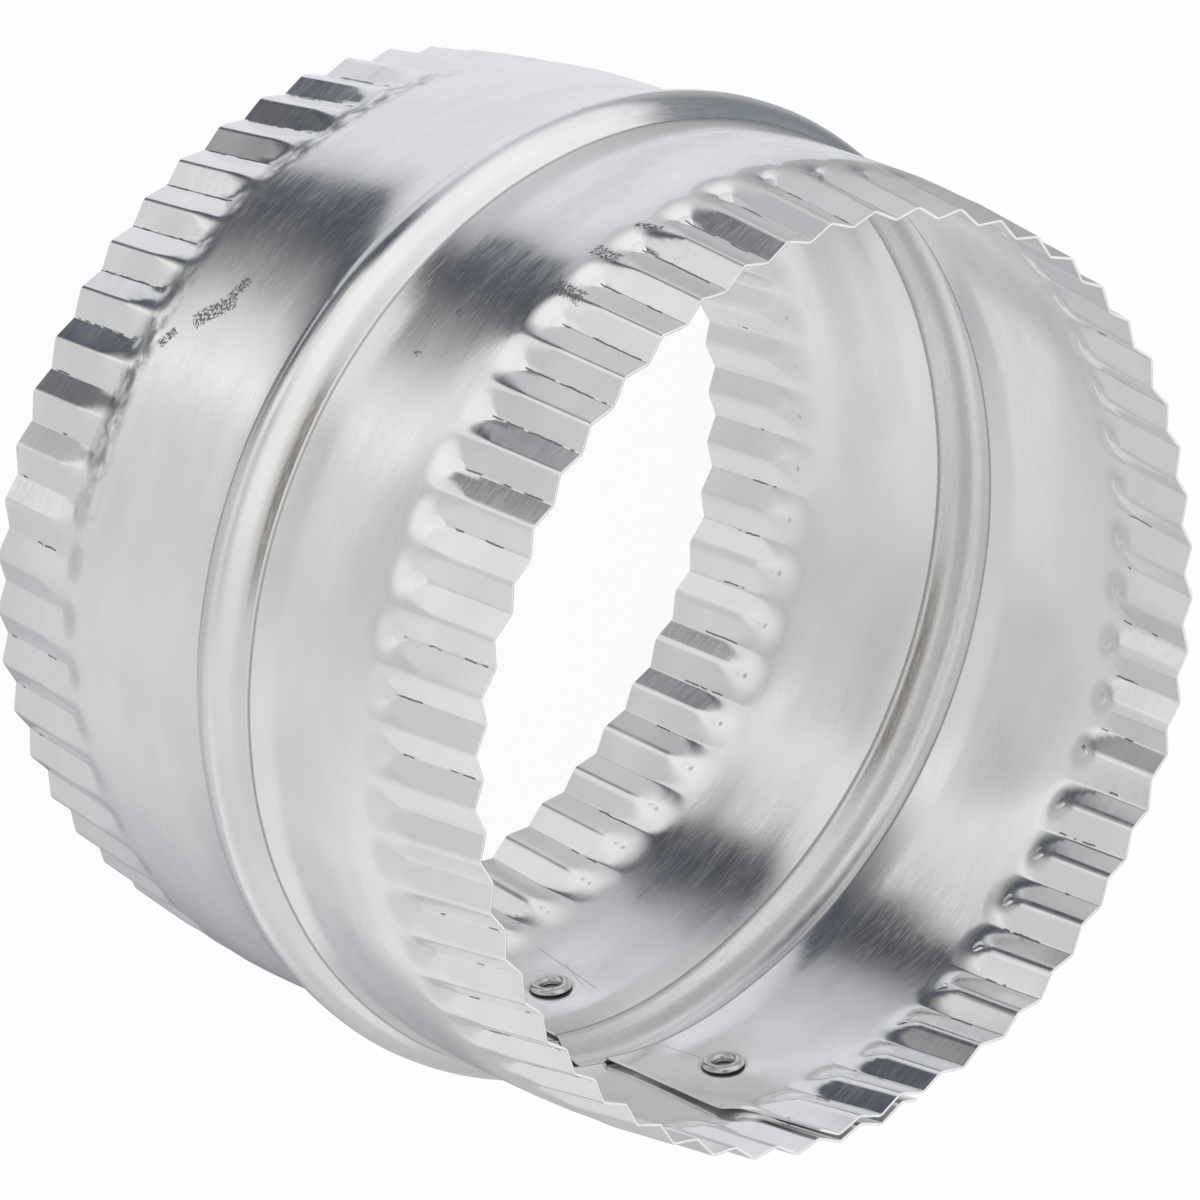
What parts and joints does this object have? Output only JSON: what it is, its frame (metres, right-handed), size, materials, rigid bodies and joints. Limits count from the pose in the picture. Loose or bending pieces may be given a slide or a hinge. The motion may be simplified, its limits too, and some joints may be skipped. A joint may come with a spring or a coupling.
{
  "type": "duct connector",
  "caption": "Short round sheet-metal duct connector with a raised centre bead, crimped ends and a riveted lap seam.",
  "frame": {"origin": "centre of the lower rim, on the surface that the part stands on", "axes": "+Z along the air path, up through the upper rim; the riveted lap seam lies 34.6 degrees from +X towards +Y"},
  "size_m": [0.1066, 0.1065, 0.0762],
  "materials": {
    "sheet_aluminium": "mill-finish rolled sheet, bright, with fine grain along the roll and light scuffs",
    "rivet_steel": "zinc-plated steel, dull bright"
  },
  "bodies": {
    "root": {"duct_sleeve": "sheet_aluminium", "lower_rivet": "rivet_steel", "upper_rivet": "rivet_steel"}
  },
  "joints": []
}
